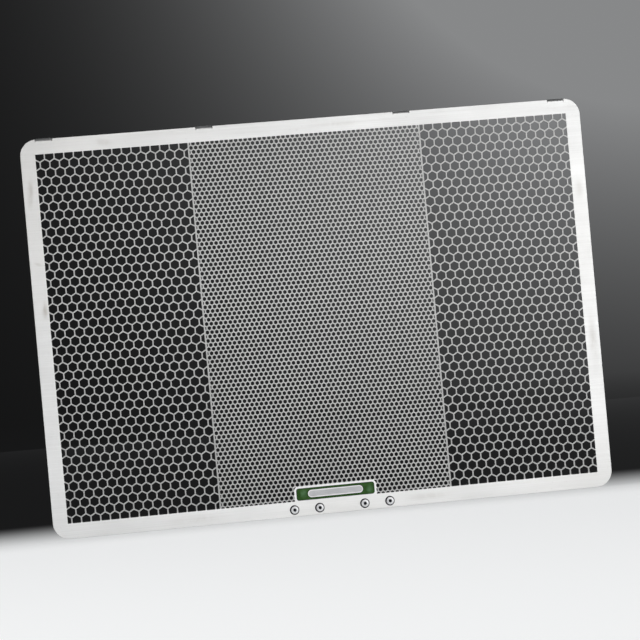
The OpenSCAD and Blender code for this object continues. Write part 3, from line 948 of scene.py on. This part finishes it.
# ---------------------------------------------------------------- floor and backdrop
def stage():
    """A pale floor that runs without an edge into a darker wall all round; the darkness beyond the pale patch is
    painted shade and the patch itself glows as painted light.
    """
    prof = [(0.0, 0.0)] + [(r, 0.0) for r in (0.3, 0.6, 1.0, 1.5, 2.2, 3.2, 4.4, 5.4)]
    for k in range(1, 15):
        a = math.radians(90 * k / 14)
        prof.append((5.4 + 2.6 * math.sin(a), 2.6 * (1 - math.cos(a))))
    prof += [(8.0, 3.2), (8.0, 4.0)]
    n, verts, faces = 128, [], []
    verts.append((0.0, 0.0, 0.0))
    for r, z in prof[1:]:
        for i in range(n):
            a = 2 * math.pi * i / n
            verts.append((r * math.cos(a), r * math.sin(a), z))
    for i in range(n):
        faces.append((0, 1 + i, 1 + (i + 1) % n))
    for k in range(len(prof) - 2):
        a, b = 1 + k * n, 1 + (k + 1) * n
        for i in range(n):
            j = (i + 1) % n
            faces.append((a + i, b + i, b + j, a + j))
    me = bpy.data.meshes.new("studio_floor")
    me.from_pydata(verts, [], faces)
    me.shade_smooth()
    ob = bpy.data.objects.new("studio_floor", me)
    ob.location = (0.0, 0.0, -0.00025)
    bpy.context.scene.collection.objects.link(ob)
    m = Nodes("studio_sweep")
    n1 = m.nt.nodes.new("ShaderNodeMapping")
    n1.vector_type = "TEXTURE"
    m.put(m.here, n1.inputs["Vector"])
    n1.inputs["Location"].default_value = (-0.05, -1.3, 0.0)
    n1.inputs["Scale"].default_value = (1.25, 1.0, 1e3)
    v = m.nt.nodes.new("ShaderNodeVectorMath")
    v.operation = "LENGTH"
    m.put(n1.outputs[0], v.inputs[0])
    away = m.span(v.outputs["Value"], 1.14, 1.58, 0.0, 1.0)
    # the far sweep is painted dark as if unlit, with a painted pool of light high up on one side
    n2 = m.nt.nodes.new("ShaderNodeMapping")
    n2.vector_type = "TEXTURE"
    m.put(m.here, n2.inputs["Vector"])
    n2.inputs["Location"].default_value = (2.63, 7.6, 1.6)
    n2.inputs["Rotation"].default_value = (0.0, 0.0, math.radians(-12.72))
    n2.inputs["Scale"].default_value = (0.80, 6.0, 1.02)
    v2 = m.nt.nodes.new("ShaderNodeVectorMath")
    v2.operation = "LENGTH"
    m.put(n2.outputs[0], v2.inputs[0])
    fall = m.math("EXPONENT", m.math("MULTIPLY", m.math("POWER", v2.outputs["Value"], 2.0), -1.0))
    glow = m.math("MINIMUM", m.math("MULTIPLY_ADD", fall, 0.68, 0.006), 0.25)
    # painted shade: pale near the middle, near black away from it
    colour = m.mix(away, (0.70, 0.70, 0.69), (0.008, 0.008, 0.0085))
    m.set(Base_Color=colour, Roughness=1.0, Specular_IOR_Level=0.0)
    # painted light: the pale patch glows, and so does the pool high on the far sweep
    lit = m.math("MULTIPLY_ADD", m.math("SUBTRACT", 1.0, away), 0.56, m.math("MULTIPLY", away, glow))
    m.set(Emission_Color=(0.97, 0.985, 1.0, 1.0), Emission_Strength=lit)
    me.materials.append(m.mat)
    return ob


stage()


# ---------------------------------------------------------------- light
def softbox(name, at, to, size, radiance, colour=(1.0, 1.0, 1.0)):
    """A rectangle of light, whose radiance is its power over pi times its area."""
    data = bpy.data.lights.new(name, "AREA")
    data.shape = "RECTANGLE"
    data.size, data.size_y = size
    data.energy = radiance * math.pi * size[0] * size[1]
    data.color = colour
    ob = bpy.data.objects.new(name, data)
    at, to = Vector(at), Vector(to)
    ob.location = at
    ob.rotation_mode = "QUATERNION"
    ob.rotation_quaternion = (to - at).to_track_quat("-Z", "Y")
    ob.visible_camera = False
    bpy.context.scene.collection.objects.link(ob)
    return ob


softbox("light_key", (1.14, -2.45, 0.07), (0.0, 0.0, 0.13), (2.2, 1.3), 2.1, (1.0, 0.998, 0.991))
softbox("light_floor", (-2.1, -1.5, 2.3), (0.0, -0.8, 0.0), (1.2, 1.2), 9.0)
softbox("light_back", (0.9, 2.7, 0.55), (0.0, 0.0, 0.13), (2.4, 1.6), 1.5)

world = bpy.data.worlds.new("studio_air")
world.use_nodes = True
wt = world.node_tree
wt.nodes.clear()
wout = wt.nodes.new("ShaderNodeOutputWorld")
wbg = wt.nodes.new("ShaderNodeBackground")
wco = wt.nodes.new("ShaderNodeTexCoord")
wsep = wt.nodes.new("ShaderNodeSeparateXYZ")
wmap = wt.nodes.new("ShaderNodeMapRange")
wmap.interpolation_type = "SMOOTHSTEP"
for k, v in enumerate((0.1, 0.95, 0.26, 0.07)):
    wmap.inputs[k + 1].default_value = v
wt.links.new(wco.outputs["Generated"], wsep.inputs[0])
wt.links.new(wsep.outputs["Z"], wmap.inputs[0])
wt.links.new(wmap.outputs[0], wbg.inputs["Strength"])
wbg.inputs["Color"].default_value = (0.95, 0.975, 1.0, 1.0)
wt.links.new(wbg.outputs[0], wout.inputs["Surface"])
bpy.context.scene.world = world
bpy.context.scene.view_settings.view_transform = "Standard"
bpy.context.scene.view_settings.look = "None"


# ---------------------------------------------------------------- camera
cam_data = bpy.data.cameras.new("camera")
cam = bpy.data.objects.new("camera", cam_data)
bpy.context.scene.collection.objects.link(cam)
cam_data.sensor_fit = "AUTO"
cam_data.sensor_width = 36.0
cam_data.lens = 238.6
cam_data.clip_start, cam_data.clip_end = 0.05, 60.0
forward = Vector((0.22023, 0.97544, 0.00428)).normalized()
up = Vector((0.08576, -0.02374, 0.99603))
right = forward.cross(up).normalized()
up = right.cross(forward)
rot = Matrix((right, up, -forward)).transposed()
cam.matrix_world = Matrix.Translation((-0.63165, -2.7972, 0.1175)) @ rot.to_4x4()
bpy.context.scene.camera = cam

bpy.context.view_layer.update()
